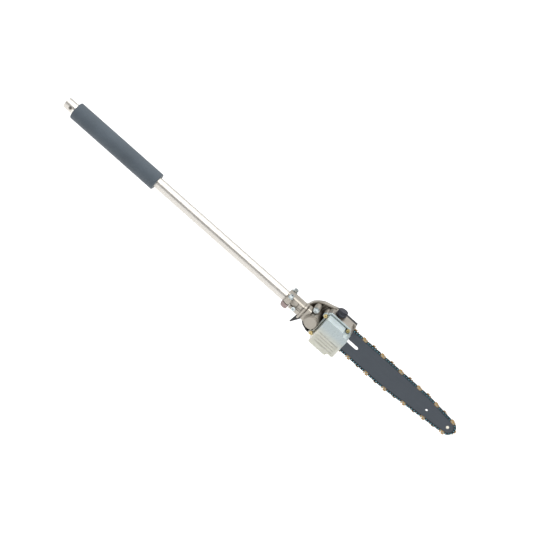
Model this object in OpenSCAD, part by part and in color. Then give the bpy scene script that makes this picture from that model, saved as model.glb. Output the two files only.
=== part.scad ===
// Pole saw attachment: tube, foam grip, bevel gear head, oil tank, guide bar and chain.
// Millimetres. The middle of the tube's free end is the origin, +X runs to the bar nose, +Z is up.
// +Y is the side that carries the bar, the chain and the sprocket cover.

/* [Pole tube] */
// Outer diameter of the pole tube and its end ferrule
tube_od = 24; // [22:0.5:26]
// Wall thickness of the pole tube
tube_wall = 1.6; // [1:0.1:2.4]
// Distance from the ferrule's free end to the tube's seat in the gear head
tube_length = 632; // [420:2:1200]
// Diameter of the locking hole near the free end
lock_hole_d = 7; // [4:0.5:9]
// Distance from the free end to the middle of the locking hole
lock_hole_x = 15; // [7:0.5:16]
// Distance from the free end to the bright band between ferrule and tube
band_start = 20; // [18:0.5:21]
// Height of the bright band above the tube
band_thickness = 0.4; // [0.2:0.1:1]

/* [Foam grip] */
// Distance from the free end to the near end of the grip
grip_start = 25; // [22:1:60]
// Length of the foam grip
grip_length = 225; // [120:5:320]
// Outer diameter of the foam grip
grip_od = 40; // [34:1:48]
// Rounding of the grip's two end edges
grip_round = 2.5; // [1:0.5:5]

/* [Drive shaft] */
// Diameter of the drive shaft inside the tube
shaft_d = 8; // [6:0.5:9]
// Width across the flats of the square ends of the drive shaft
square_af = 5.2; // [4:0.1:5.6]
// How far the square end lies inside the tube's free end
square_inset = 4; // [2:0.5:8]
// Number of plastic bushes that carry the shaft along the tube
bush_count = 3; // [2:1:6]
// Length of one bush
bush_length = 16; // [10:1:30]

/* [Bevel gears] */
// Teeth on the bevel pinion
pinion_teeth = 11; // [9:1:14]
// Teeth on the bevel gear
gear_teeth = 15; // [13:1:18]
// Size of the teeth at their large end, as pitch diameter over tooth count
gear_module = 1.45; // [1.2:0.05:1.6]
// Running clearance between turning pieces and the pieces around them
run_gap = 0.05; // [0.02:0.01:0.1]

/* [Ball bearings] */
// Bore of the ball bearings
bearing_id = 10; // [8:1:10]
// Outer diameter of the ball bearings
bearing_od = 19; // [18:1:20]
// Width of the ball bearings
bearing_width = 5; // [4:0.5:6]

/* [Gear head] */
// Distance from the tube's seat to the axis of the output shaft
output_offset = 47.5; // [45:0.5:60]
// Length of tube held inside the neck of the gear head
neck_grip = 26; // [20:1:34]
// Wall of the neck around the tube
neck_wall = 3; // [2.5:0.5:5]
// Length of the split clamp along the tube
clamp_length = 15; // [12:1:18]
// Distance from the tube axis to each clamp bolt
clamp_bolt_offset = 19; // [18:0.5:24]
// Thread diameter of the clamp bolts
clamp_bolt_d = 5; // [4:1:6]
// Thickness of the curved rim around the closing wall
rim_wall = 3; // [2:0.5:5]
// Depth of the curved rim across the tool
rim_depth = 11; // [8:0.5:14]

/* [Oil tank] */
// Length of the oil tank along the tool
tank_length = 65.5; // [54:0.5:84]
// Height of the tank flange above the output axis
tank_top = 41; // [34:1:46]
// Depth of the tank flange below the output axis
tank_bottom = 29; // [24:1:34]
// Depth of the clear bowl toward the near side
bowl_depth = 34; // [24:1:44]
// Wall of the clear bowl
bowl_wall = 2; // [1.5:0.5:3]
// Diameter of the oil cap
cap_d = 22.5; // [18:0.5:27]
// Height of the oil cap
cap_height = 13; // [11:0.5:20]
// Angle at which the filler neck leans back toward the pole
cap_tilt = 9; // [0:1:12]
// Rise of the oil cap for one full turn of its thread
cap_pitch = 3; // [2:0.5:4]

/* [Guide bar] */
// Distance from the output axis to the middle of the nose rivet
bar_reach = 365.1; // [255:0.1:460]
// Height of the guide bar
bar_height = 48; // [40:1:52]
// Thickness of the guide bar
bar_thickness = 3.2; // [3:0.1:4]
// Radius of the bar nose
nose_radius = 13; // [11:0.5:16]
// Height of the nose centre above the middle of the bar's tail
nose_rise = 3.5; // [0:0.5:6]
// Width of the mounting slot in the bar's tail
slot_width = 8; // [7:0.1:9]
// Distance the bar can be drawn back toward the sprocket for fitting the chain
bar_travel = 2; // [1:0.5:4]
// Diameter of the hanging hole near the nose
bar_hole_d = 5.5; // [4:0.5:8]

/* [Chain] */
// Spacing of the chain rivets
rivet_spacing = 6.35; // [6:0.05:7]
// Teeth on the drive sprocket
sprocket_teeth = 8; // [7:1:8]
// Thickness of the drive links
gauge = 1.27; // [1.09:0.01:1.47]
// Thickness of the tie straps and cutter plates
strap_thickness = 1; // [0.8:0.05:1.2]

/* [Sprocket cover] */
// Wall of the sprocket cover
cover_wall = 2.4; // [2:0.2:3.4]
// Depth of the sprocket cover across the tool
cover_depth = 14; // [13:0.5:20]
// Length of the hook below the cover's rear corner
hook_length = 24; // [12:1:34]

/* [Hidden] */
$fn = 64;
// Tube, grip and shaft
tube_r = tube_od / 2;
tube_ir = tube_r - tube_wall;
tube_start = band_start + 4;
ferrule_end = tube_start + 14;
shaft_r = shaft_d / 2;
neck_x = tube_length - neck_grip;
clamp_x = neck_x + 8.5;
// Output axis and bevel gears, whose cones meet at the output axis
axis_x = tube_length + output_offset;
pinion_pr = pinion_teeth * gear_module / 2;
gear_pr = gear_teeth * gear_module / 2;
pinion_cone = atan(pinion_pr / gear_pr);
cone_length = norm([pinion_pr, gear_pr]);
tooth_keep = 0.7;
tooth_half = gear_module * 0.62;
tip_angle = atan(0.8 * gear_module / cone_length);
root_angle = atan(1.15 * gear_module / cone_length);
hub_r = bearing_id / 2;
bearing_r = bearing_od / 2;
chamber_r = pinion_pr * tan(90 - pinion_cone + tip_angle) + 0.5;
chamber_wall = 2.4;
near_bearing_y = -pinion_pr - 12.4;
near_face_y = near_bearing_y - 0.2;
cap_face_y = near_face_y - 1.2;
far_bearing_y = 21;
pinion_bearing_x = axis_x - 38;
pinion_bearing_gap = 6;
// Body planes across the tool
back_y = 36;
wall_y = 30;
bar_y = back_y + 1.4 + bar_thickness / 2;
cover_y = back_y + cover_depth;
// Oil tank
tank_x = axis_x + 15;
tank_end = tank_x + tank_length;
cap_x = tank_x + 23.5;
cap_y = 13;
cap_z = 3.4;
seal_z = cap_z + cap_height - 4.2;
case_bolt_spot = [axis_x - 7.2, 20.7];
gasket_t = 1;
// Chain and bar
pitch_offset = 2.6;
strap_foot = 2.25;
tang_depth = 6.2;
rivet_r = 1.2;
rivet_hole_r = rivet_r + 0.03;
sprocket_r = rivet_spacing / (2 * sin(90 / sprocket_teeth));
rim_r = sprocket_r * cos(90 / sprocket_teeth) - strap_foot - 0.35;
bar_half = bar_height / 2;
tail_x = axis_x + 27.5;
tail_round = 9;
nose_x = axis_x + bar_reach;
slot_start = tail_x + 13;
slot_end = axis_x + 115.5 - slot_width / 2;
stud_x = axis_x + 62.5;
stud_r = slot_width / 2 - 0.1;
groove_w = gauge + 0.14;
groove_depth = 5.5;
plate_t = (bar_thickness - groove_w) / 2;
pin_x = axis_x + 53.5;
pin_z = -14;
screw_y = 30;
tip_height = 5.1;
cover_rear_r = sprocket_r + tip_height + bar_travel + 0.7 + cover_wall;

// The bar's edge is a belt around these circles: two tail corners, two shoulders and the nose.
corners = [
  [axis_x, 0, sprocket_r - pitch_offset],
  [tail_x + tail_round, bar_half - tail_round, tail_round],
  [axis_x + bar_reach * 0.766, bar_half - 250, 250],
  [nose_x, nose_rise, nose_radius],
  [axis_x + bar_reach * 0.517, 400 - bar_half, 400],
  [tail_x + tail_round, tail_round - bar_half, tail_round]
];
edge_steps = [10, 4, 5, 28, 5, 4];

// Angle of the shared outward normal where a belt leaves one circle for the next
function leave_angle(a, b) = let(dx = b[0] - a[0], dz = b[1] - a[1])
  atan2(dz, dx) + acos((a[2] - b[2]) / norm([dx, dz]));
function wrapped(a) = a - 360 * floor(a / 360);
function on_circle(c, r, a) = [c[0] + r * cos(a), c[1] + r * sin(a)];
function sum(v, i = 0) = i < len(v) ? v[i] + sum(v, i + 1) : 0;

// Belt around the circles listed in ids, each circle grown by the amount grow
function belt_angles(ids) = [for (i = [0:len(ids) - 1])
  leave_angle(corners[ids[i]], corners[ids[(i + 1) % len(ids)]])];
function belt_points(ids, grow) = let(a = belt_angles(ids), n = len(ids)) [
  for (i = [0:n - 1])
    let(from = a[(i + n - 1) % n], turn = wrapped(from - a[i]), steps = edge_steps[ids[i]])
      for (k = [0:steps])
        on_circle(corners[ids[i]], corners[ids[i]][2] + grow, from - turn * k / steps)
];

// Path of the chain rivets: arc lengths and straight lengths in the order of travel
loop_ids = [0, 1, 2, 3, 4, 5];
loop_out = belt_angles(loop_ids);
loop_in = [for (i = [0:5]) loop_out[(i + 5) % 6]];
loop_turn = [for (i = [0:5]) wrapped(loop_in[i] - loop_out[i])];
loop_arc = [for (i = [0:5]) (corners[i][2] + pitch_offset) * loop_turn[i] * PI / 180];
loop_line = [for (i = [0:5]) let(a = corners[i], b = corners[(i + 1) % 6])
  sqrt(pow(b[0] - a[0], 2) + pow(b[1] - a[1], 2) - pow(a[2] - b[2], 2))];
loop_length = sum(loop_arc) + sum(loop_line);
drive_links = round(loop_length / (2 * rivet_spacing));
link_step = loop_length / drive_links / 2;
function path_point(s, i = 0) = let(r = corners[i][2] + pitch_offset, a = loop_in[i])
  s <= loop_arc[i] || i == 5 && s > loop_arc[5] + loop_line[5]
    ? on_circle(corners[i], r, a - s / r * 180 / PI)
    : s <= loop_arc[i] + loop_line[i]
      ? on_circle(corners[i], r, loop_out[i])
        + (s - loop_arc[i]) * [sin(loop_out[i]), -cos(loop_out[i])]
      : path_point(s - loop_arc[i] - loop_line[i], i + 1);
function rivet_at(k) = path_point((k % (2 * drive_links)) * link_step);
function link_chord(k) = norm(rivet_at(k + 1) - rivet_at(k));

// Smooth line of many short steps through the points in p
function between(p, i, t) =
  let(a = p[max(i - 1, 0)], b = p[i], c = p[i + 1], d = p[min(i + 2, len(p) - 1)])
  0.5 * (2 * b + (c - a) * t + (2 * a - 5 * b + 4 * c - d) * t * t + (3 * b - a - 3 * c + d) * t * t * t);
function smooth_line(p, n) = concat([for (i = [0:len(p) - 2], k = [0:n - 1]) between(p, i, k / n)],
  [p[len(p) - 1]]);
function moved_in(q, t) = [for (i = [0:len(q) - 1])
  let(d = q[min(i + 1, len(q) - 1)] - q[max(i - 1, 0)]) q[i] + t * [d[1], -d[0]] / norm(d)];
function backward(q) = [for (i = [len(q) - 1:-1:0]) q[i]];

// Outer edge of the rim, from its low rear end to its end on top of the tank
rim_line = smooth_line([for (p = [
  [-27.7, 0.03], [-25, 0.288], [-17.5, 0.605], [-6.5, 0.817], [1.1, 0.895], [10.5, 0.954],
  [17.5, 1.007], [23.3, 1.068]
]) [axis_x + p[0], tank_top * p[1]]], 4);

// Rod along X
module xrod(x0, x1, r, y = 0, z = 0) {
  translate([x0, y, z]) rotate([0, 90, 0]) cylinder(h = x1 - x0, r = r);
}

// Rod along Y
module yrod(y0, y1, r, x, z = 0) {
  translate([x, y0, z]) rotate([-90, 0, 0]) cylinder(h = y1 - y0, r = r);
}

// Rod along Z
module zrod(z0, z1, r, x, y) {
  translate([x, y, z0]) cylinder(h = z1 - z0, r = r);
}

// Box given by its two corners
module block(a, b) {
  translate(a) cube(b - a);
}

// Outline drawn in X and Z, given a thickness across the tool
module across(y0, y1) {
  translate([0, y1, 0]) rotate([90, 0, 0]) linear_extrude(height = y1 - y0) children();
}

// Outline drawn in Y and Z, given a length along the tool
module along(x0, x1) {
  translate([x0, 0, 0]) rotate([90, 0, 90]) linear_extrude(height = x1 - x0) children();
}

// Outline drawn in radius and X, turned about the tube axis
module about_x(x = 0) {
  translate([x, 0, 0]) rotate([0, 90, 0]) rotate_extrude() children();
}

// Rectangle with rounded corners, given by its two corners
module rounded(a, b, r) {
  translate([a[0] + r, a[1]]) square([b[0] - a[0] - 2 * r, b[1] - a[1]]);
  translate([a[0], a[1] + r]) square([b[0] - a[0], b[1] - a[1] - 2 * r]);
  for (x = [a[0] + r, b[0] - r], z = [a[1] + r, b[1] - r]) translate([x, z]) circle(r);
}

// Ring along X
module xring(x0, x1, r0, r1) {
  difference() {
    xrod(x0, x1, r1);
    xrod(x0 - 1, x1 + 1, r0);
  }
}

// Ring along Y around the output axis
module yring(y0, y1, r0, r1, x = axis_x, z = 0) {
  difference() {
    yrod(y0, y1, r1, x, z);
    yrod(y0 - 1, y1 + 1, r0, x, z);
  }
}

module pole_tube() {
  color([0.80, 0.78, 0.74]) xring(tube_start, tube_length, tube_ir, tube_r);
}

// End ferrule: the same outer size as the tube, with a groove for the band and a shank inside the tube
module end_ferrule() {
  color([0.80, 0.78, 0.74]) difference() {
    union() {
      xrod(0, band_start, tube_r);
      xrod(0, tube_start, tube_r - 0.5);
      xrod(0, ferrule_end, tube_ir);
    }
    xrod(-1, tube_start, tube_ir - 0.2);
    xrod(-1, ferrule_end + 1, tube_ir - 1.4);
    yrod(-tube_r - 1, 0, lock_hole_d / 2, lock_hole_x);
  }
}

module insertion_band() {
  color([0.93, 0.93, 0.92]) xring(band_start + 0.4, tube_start, tube_r - 0.5, tube_r + band_thickness);
}

module foam_grip() {
  color([0.33, 0.37, 0.41]) about_x(grip_start) difference() {
    union() {
      rounded([tube_r - grip_round - 1, 0], [grip_od / 2, grip_length], grip_round);
      square([tube_r + 1, grip_length]);
    }
    translate([-grip_od, -1]) square([grip_od + tube_r, grip_length + 2]);
  }
}

// Spools that centre the shaft, one just inside the free end and the rest spread along the tube
module shaft_bushes() {
  color([0.16, 0.16, 0.17]) for (i = [0:bush_count])
    about_x(ferrule_end + 4 + i * (neck_x - 56 - bush_length) / bush_count) difference() {
      translate([shaft_r + run_gap, 0]) square([tube_ir - shaft_r - run_gap, bush_length]);
      translate([tube_ir - 1.5, 4]) square([3, bush_length - 8]);
    }
}

// Square prism along X
module square_bar(x0, x1, af) {
  block([x0, -af / 2, -af / 2], [x1, af / 2, af / 2]);
}

module drive_shaft() {
  color([0.55, 0.56, 0.58]) union() {
    square_bar(square_inset, tube_start, square_af);
    xrod(tube_start - 2, pinion_bearing_x - 6, shaft_r);
    square_bar(pinion_bearing_x - 7, pinion_bearing_x + 6, square_af);
  }
}

// Neck section: a rounded box above the parting line and a half round below it
module neck_section() {
  intersection() {
    rounded([-tube_r - 2, -12], [tube_r + 2, tube_r + neck_wall], 5);
    translate([-30, -1.5]) square([60, 40]);
  }
  intersection() {
    circle(tube_r + neck_wall);
    translate([-30, -40]) square([60, 38.6]);
  }
}

// Curved strip that follows the rim line
module rim_profile(t) {
  polygon(concat(rim_line, backward(moved_in(rim_line, t))));
}

// Outline of the wall that closes the head on the chain side
module wall_outline() {
  polygon(concat(rim_line, [[axis_x + 23.3, -20], [axis_x - 20, -18]]));
  rounded([axis_x - 10, -26], [tank_x + 12, 20], 6);
  rounded([tank_x, -40], [tank_end, tank_top], 6);
  translate([axis_x, 0]) circle(26);
}

// Outline of the tank flange: cut corners at the top and the lower rear, a step at the lower front
module tank_outline(inset) {
  polygon([
    [tank_x + inset, -tank_bottom + 6 + inset * 0.4], [tank_x + 6 + inset * 0.4, -tank_bottom + inset],
    [tank_end - 14 - inset, -tank_bottom + inset], [tank_end - 14 - inset, -tank_bottom + 7 + inset],
    [tank_end - inset, -tank_bottom + 7 + inset], [tank_end - inset, tank_top - 13 - inset * 0.4],
    [tank_end - 10 - inset * 0.4, tank_top - inset], [tank_x + 5 + inset * 0.4, tank_top - inset],
    [tank_x + inset, tank_top - 5 - inset * 0.4]
  ]);
}

// Middles of the three bowl screws
screw_spots = [
  [tank_x - 0.6, tank_top - 13.2], [tank_end - 11.6, tank_top - 5], [tank_x + 0.3, 6.5 - tank_bottom]
];
ears = [screw_spots[0], screw_spots[2]];

// Oil space, which leaves a post around the screw in the top front corner
module tank_room() {
  difference() {
    tank_outline(3.4);
    translate(screw_spots[1]) circle(5);
  }
}

// Places children in the frame of the filler neck, whose Z runs up along the neck
module at_filler() {
  translate([cap_x, cap_y, tank_top - 1]) rotate([0, -cap_tilt, 0]) children();
}

// Slanting ribs in the recess below the rim
module rim_ribs() {
  across(wall_y - 3, wall_y + 1) intersection() {
    for (i = [0:3]) translate([axis_x - 7 + i * 6.6, 8]) rotate(-16) square([1.8, 40]);
    polygon(concat(moved_in(rim_line, 1), [[axis_x + 14, 12], [axis_x - 8, 12]]));
  }
}

module gearcase() {
  color([0.79, 0.77, 0.73]) difference() {
    union() {
      // Neck, its clamp ears and the raised panel on its near face
      along(neck_x + 18, axis_x - 24.5) neck_section();
      along(neck_x, neck_x + 19) intersection() {
        neck_section();
        translate([-40, -1.5]) square([80, 60]);
      }
      for (side = [-1, 1]) zrod(-1.5, 11.5, 7.5, clamp_x, side * clamp_bolt_offset);
      block([neck_x, -clamp_bolt_offset, -1.5], [neck_x + clamp_length, clamp_bolt_offset, 10]);
      block([neck_x + 30, -tube_r - 3.2, 3], [neck_x + 42, 0, 12.5]);
      yrod(-tube_r - 2.9, -8, 5, tube_length + 2, -3.5);
      // Rib around the neck, waist and square collar before the gear chamber
      along(axis_x - 29.5, axis_x - 25.5) rounded([-16, -16], [16, 17], 6);
      along(axis_x - 26, axis_x - 12) circle(13);
      along(axis_x - 22, axis_x - 12) rounded([-13.5, -13], [13.5, 17], 4);
      // Gear chamber with its near boss, and the boss of the far bearing
      yrod(near_bearing_y + 4, wall_y + 1, chamber_r + chamber_wall, axis_x);
      yrod(near_face_y, near_bearing_y + 5, bearing_r + 4.6, axis_x);
      // Closing wall, its rim and ribs, and the boss of the case bolt
      across(wall_y, back_y) wall_outline();
      across(back_y - rim_depth, back_y) rim_profile(rim_wall);
      rim_ribs();
      yrod(0, wall_y + 1, 7.4, case_bolt_spot[0], case_bolt_spot[1]);
      block([axis_x - 26, 6, 2], [axis_x - 14, wall_y + 1, 11]);
      // Tank half and its screw ears
      across(0, wall_y + 1) tank_outline(0);
      block([tank_x + 6, 12, -39], [tank_end - 2, wall_y + 1, -tank_bottom + 6]);
      for (s = ears) yrod(0, wall_y + 1, 6, s[0], s[1]);
      // Filler neck
      at_filler() translate([0, 0, -8]) cylinder(h = 8 + seal_z, r = cap_d / 2 - 2.6);
    }
    // Room beside the chamber for the bowl flange, the case bolt's head and the clamp washers
    block([tank_x - 0.3, near_face_y - 1, -25], [tank_x + 9, 0, 25]);
    yrod(near_face_y - 1, 0, 6.9, case_bolt_spot[0], case_bolt_spot[1]);
    for (side = [-1, 1]) zrod(11.5, 20, 6.8, clamp_x, side * clamp_bolt_offset);
    // Tube socket and bearing bores
    xrod(neck_x - 1, tube_length, tube_r);
    xrod(tube_length - 1, pinion_bearing_x + 0.01, bearing_r - 1.4);
    xrod(pinion_bearing_x, pinion_bearing_x + 2 * bearing_width + pinion_bearing_gap + 4, bearing_r);
    xrod(pinion_bearing_x + 2 * bearing_width + pinion_bearing_gap,
      pinion_bearing_x + 2 * bearing_width + pinion_bearing_gap + 1.2, bearing_r + 0.8);
    xrod(axis_x - 20, axis_x - 4, gear_pr + 0.2);
    yrod(near_bearing_y + bearing_width + 0.3, 13, chamber_r, axis_x);
    yrod(near_face_y - 1, near_bearing_y + bearing_width + 1, bearing_r, axis_x);
    yrod(12, back_y + 1, hub_r + 3.2, axis_x);
    yrod(far_bearing_y, back_y + 1, bearing_r, axis_x);
    // Clamp screw holes, locating screw hole and the slit beside it
    for (side = [-1, 1]) zrod(-3, 13, clamp_bolt_d / 2, clamp_x, side * clamp_bolt_offset);
    block([neck_x + clamp_length, -clamp_bolt_offset - 9, -2], [neck_x + 18, -tube_r - 2.1, 13]);
    block([neck_x + clamp_length, tube_r + 2.1, -2], [neck_x + 18, clamp_bolt_offset + 9, 13]);
    block([neck_x + 14, -30, -3], [neck_x + 25, -8, -1.5]);
    yrod(-tube_r - 8, 0, 2, tube_length + 2, -3.5);
    // Oil space, filler passage and the hose's way out
    across(-1, 22) tank_room();
    at_filler() translate([0, 0, -12]) cylinder(h = 14 + seal_z, r = cap_d / 2 - 4.6);
    yrod(21, 25, 2.5, tank_x + 22, 24);
    // Threads of the bowl screws and the case bolt
    for (s = screw_spots) yrod(-1, 12, 1.8, s[0], s[1]);
    yrod(-1, 20, 3, case_bolt_spot[0], case_bolt_spot[1]);
    // Stud hole, tension screw hole and the channel of the tension block
    yrod(24, back_y + 1, stud_r, stud_x);
    xrod(pin_x - 16, tank_end + 1, 2.5 + run_gap, screw_y, pin_z);
    xrod(tank_end - 4, tank_end + 1, 4.8, screw_y, pin_z);
    block([pin_x - 5.1 - bar_travel, screw_y - 4.1, pin_z - 4.1], [pin_x + 5.1, back_y + 1, pin_z + 4.1]);
  }
}

module clamp_cap() {
  color([0.77, 0.72, 0.69]) difference() {
    union() {
      along(neck_x, neck_x + clamp_length) intersection() {
        circle(tube_r + neck_wall + 2);
        translate([-30, -40]) square([60, 37]);
      }
      for (side = [-1, 1]) zrod(-12.5, -3, 7.5, clamp_x, side * clamp_bolt_offset);
      block([neck_x, -clamp_bolt_offset, -11], [neck_x + clamp_length, clamp_bolt_offset, -3]);
    }
    xrod(neck_x - 1, neck_x + clamp_length + 1, tube_r);
    for (side = [-1, 1]) zrod(-14, 0, clamp_bolt_d / 2, clamp_x, side * clamp_bolt_offset);
  }
}

module clamp_bolts() {
  color([0.72, 0.76, 0.77]) for (side = [-1, 1]) difference() {
    union() {
      zrod(12.7, 18.7, 5, clamp_x, side * clamp_bolt_offset);
      zrod(-12.4, 13, clamp_bolt_d / 2, clamp_x, side * clamp_bolt_offset);
    }
    translate([clamp_x, side * clamp_bolt_offset, 15.7]) cylinder(h = 4, r = 2.3, $fn = 6);
  }
}

module clamp_washers() {
  color([0.78, 0.80, 0.80]) for (side = [-1, 1]) difference() {
    zrod(11.5, 12.7, 6.5, clamp_x, side * clamp_bolt_offset);
    zrod(11, 13, clamp_bolt_d / 2, clamp_x, side * clamp_bolt_offset);
  }
}

module locating_screw() {
  color([0.74, 0.76, 0.76]) difference() {
    union() {
      yrod(-tube_r - 7.2, -tube_r - 2.9, 4.5, tube_length + 2, -3.5);
      yrod(-tube_r - 4, -tube_r + 2, 2, tube_length + 2, -3.5);
    }
    translate([tube_length + 2, -tube_r - 8, -3.5]) rotate([-90, 0, 0]) cylinder(h = 3.6, r = 2.1, $fn = 6);
  }
}

module output_bearings() {
  color([0.62, 0.63, 0.65]) for (y = [near_bearing_y, far_bearing_y]) difference() {
    yrod(y, y + bearing_width, bearing_r, axis_x);
    yrod(y - 1, y + bearing_width + 1, hub_r + run_gap, axis_x);
    for (f = [y - 1, y + bearing_width - 0.4]) difference() {
      yrod(f, f + 1.4, bearing_r - 1.2, axis_x);
      yrod(f - 1, f + 3, hub_r + 1.2, axis_x);
    }
  }
}

module pinion_bearings() {
  color([0.62, 0.63, 0.65]) for (i = [0, 1]) {
    x = pinion_bearing_x + i * (bearing_width + pinion_bearing_gap);
    difference() {
      xrod(x, x + bearing_width, bearing_r);
      xrod(x - 1, x + bearing_width + 1, hub_r + run_gap);
      for (f = [x - 1, x + bearing_width - 0.4]) xring(f, f + 1.4, hub_r + 1.2, bearing_r - 1.2);
    }
  }
}

module pinion_spacer() {
  color([0.58, 0.59, 0.60]) xring(pinion_bearing_x + bearing_width,
    pinion_bearing_x + bearing_width + pinion_bearing_gap, bearing_r - 1.2, bearing_r);
}

module pinion_clip() {
  x = pinion_bearing_x + 2 * bearing_width + pinion_bearing_gap;
  color([0.35, 0.35, 0.36]) difference() {
    xring(x, x + 1.2, bearing_r - 1.5, bearing_r + 0.8);
    block([x - 1, -2, 0], [x + 3, 2, bearing_r + 2]);
  }
}

// Bevel wheel about Z with its cone point at the origin and its large end at -reach.
// Each tooth is a wedge that narrows toward the cone point.
module bevel_wheel(reach, cone, teeth, start) {
  tip = cone + tip_angle;
  root = cone - root_angle;
  translate([0, 0, -reach]) cylinder(h = reach * (1 - tooth_keep),
    r1 = reach * tan(root), r2 = reach * tooth_keep * tan(root));
  intersection() {
    translate([0, 0, -reach]) cylinder(h = reach * (1 - tooth_keep),
      r1 = reach * tan(tip), r2 = reach * tooth_keep * tan(tip));
    union() for (i = [0:teeth - 1])
      rotate([0, 0, start + i * 360 / teeth]) rotate([0, 180 - cone, 0]) rotate([90, 0, 90])
        translate([0, 0, -3]) linear_extrude(height = 6)
          polygon([[0, 0], [tooth_half, cone_length * 1.6], [-tooth_half, cone_length * 1.6]]);
  }
}

module bevel_pinion() {
  x = pinion_bearing_x;
  color([0.50, 0.50, 0.52]) difference() {
    union() {
      translate([axis_x, 0, 0]) rotate([0, 90, 0])
        bevel_wheel(gear_pr, pinion_cone, pinion_teeth, 270 + 180 / pinion_teeth);
      xrod(x + 2 * bearing_width + pinion_bearing_gap + 1, axis_x - gear_pr + 0.2, hub_r + 1.2);
      xrod(x - 4, x + 2 * bearing_width + pinion_bearing_gap + 2, hub_r);
    }
    square_bar(x - 6, x + 7, square_af + 0.02);
  }
}

module bevel_gear() {
  color([0.52, 0.52, 0.54]) difference() {
    union() {
      translate([axis_x, 0, 0]) rotate([-90, 0, 0])
        bevel_wheel(pinion_pr, 90 - pinion_cone, gear_teeth, 180);
      yrod(near_bearing_y + bearing_width + 0.2, -pinion_pr + 0.2,
        pinion_pr * tan(90 - pinion_cone - root_angle) - 0.2, axis_x);
    }
    yrod(-30, 0, hub_r, axis_x);
  }
}

module output_shaft() {
  color([0.60, 0.61, 0.63]) difference() {
    yrod(near_bearing_y + 0.5, bar_y + 7.5, hub_r, axis_x);
    yring(bar_y + 5.2, bar_y + 6.4, hub_r - 0.7, hub_r + 1);
  }
}

module shaft_sleeve() {
  color([0.58, 0.58, 0.60]) yring(-pinion_pr * tooth_keep, far_bearing_y - 0.2, hub_r, hub_r + 1.3);
}

module shaft_seal() {
  color([0.12, 0.12, 0.13]) yring(far_bearing_y + bearing_width, far_bearing_y + bearing_width + 6,
    hub_r + run_gap, bearing_r);
}

module bearing_cap() {
  color([0.80, 0.78, 0.74]) union() {
    yrod(cap_face_y, near_face_y, bearing_r + 3.3, axis_x);
    yring(near_face_y - 0.2, near_bearing_y, bearing_r - 2, bearing_r);
  }
}

module case_bolt() {
  x = case_bolt_spot[0];
  z = case_bolt_spot[1];
  color([0.74, 0.77, 0.78]) difference() {
    union() {
      yrod(-1.5, 0, 6.6, x, z);
      yrod(-6, -1, 5, x, z);
      yrod(-1, 18, 3, x, z);
    }
    translate([x, -6.5, z]) rotate([-90, 0, 0]) cylinder(h = 3.5, r = 2.7, $fn = 6);
  }
}

// Rim sprocket: two side rims under the tie straps and short driving teeth between them
module drive_sprocket() {
  color([0.45, 0.45, 0.47]) difference() {
    union() {
      yrod(bar_y - 2.6, bar_y - gauge / 2 - 0.25, rim_r, axis_x);
      yrod(bar_y + gauge / 2 + 0.25, bar_y + 2.6, rim_r, axis_x);
      yrod(bar_y - 3.4, bar_y + 3.4, hub_r + 2, axis_x);
      for (i = [0:sprocket_teeth - 1]) translate([axis_x, bar_y - 1.5, 0])
        rotate([0, (i + 0.3) * 360 / sprocket_teeth, 0])
          translate([0, 0, -1.6]) cube([sprocket_r - tang_depth - 0.8, 3, 3.2]);
    }
    yrod(bar_y - 5, bar_y + 5, hub_r, axis_x);
  }
}

module sprocket_washer() {
  color([0.66, 0.67, 0.68]) yring(bar_y + 3.5, bar_y + 4.9, hub_r, hub_r + 5);
}

module sprocket_clip() {
  color([0.30, 0.30, 0.31]) difference() {
    yring(bar_y + 5.2, bar_y + 6.4, hub_r - 0.7, hub_r + 2.2);
    block([axis_x - 2, bar_y + 5, 0], [axis_x + 2, bar_y + 7, hub_r + 4]);
  }
}

// Outline of the bowl's body, drawn inward by the amount inset and cut away around the top front screw
module bowl_outline(inset) {
  difference() {
    intersection() {
      tank_outline(0.6 + inset);
      rounded([tank_x + 4.6 + inset, -tank_bottom - 5],
        [tank_end - 0.6 - inset, tank_top - 4.5 - inset], 6 - inset);
    }
    translate(screw_spots[1]) circle(6.4 + inset);
  }
}

module oil_bowl() {
  color([0.84, 0.85, 0.82]) difference() {
    union() {
      across(-4 - gasket_t, -gasket_t) tank_outline(0);
      across(-bowl_depth, -gasket_t) bowl_outline(0);
      for (s = ears) yrod(-4 - gasket_t, -gasket_t, 6, s[0], s[1]);
    }
    across(-bowl_depth + bowl_wall, 1) bowl_outline(bowl_wall);
    for (s = screw_spots) yrod(-4 - gasket_t - 1, 1, 2, s[0], s[1]);
  }
}

module bowl_gasket() {
  color([0.10, 0.10, 0.11]) difference() {
    union() {
      across(-gasket_t, 0) tank_outline(0);
      for (s = ears) yrod(-gasket_t, 0, 6, s[0], s[1]);
    }
    across(-2, 1) tank_room();
    for (s = screw_spots) yrod(-2, 1, 2, s[0], s[1]);
  }
}

module bowl_screws() {
  color([0.78, 0.70, 0.45]) for (s = screw_spots) difference() {
    union() {
      yrod(-7.2 - gasket_t, -4 - gasket_t, 4, s[0], s[1]);
      yrod(-5 - gasket_t, 11, 1.8, s[0], s[1]);
    }
    for (turn = [45, 135]) translate([s[0], -8.5 - gasket_t, s[1]]) rotate([0, turn, 0])
      translate([-2.4, 0, -0.5]) cube([4.8, 3, 1]);
  }
}

// Oil cap: a smooth collar below and a ribbed hand grip above, threaded over the filler neck
module oil_cap() {
  color([0.12, 0.13, 0.18]) at_filler() difference() {
    union() {
      translate([0, 0, cap_z]) cylinder(h = 5.6, r = cap_d / 2);
      translate([0, 0, cap_z + 1]) cylinder(h = cap_height - 1, r = cap_d / 2 - 1.2);
      for (i = [0:23]) rotate([0, 0, 7.5 + i * 15]) translate([cap_d / 2 - 1.5, 0, cap_z + 1])
        cylinder(h = cap_height - 1.8, r = 1);
    }
    translate([0, 0, cap_z - 1]) cylinder(h = cap_height - 1.5, r = cap_d / 2 - 2.6 + run_gap);
  }
}

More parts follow.
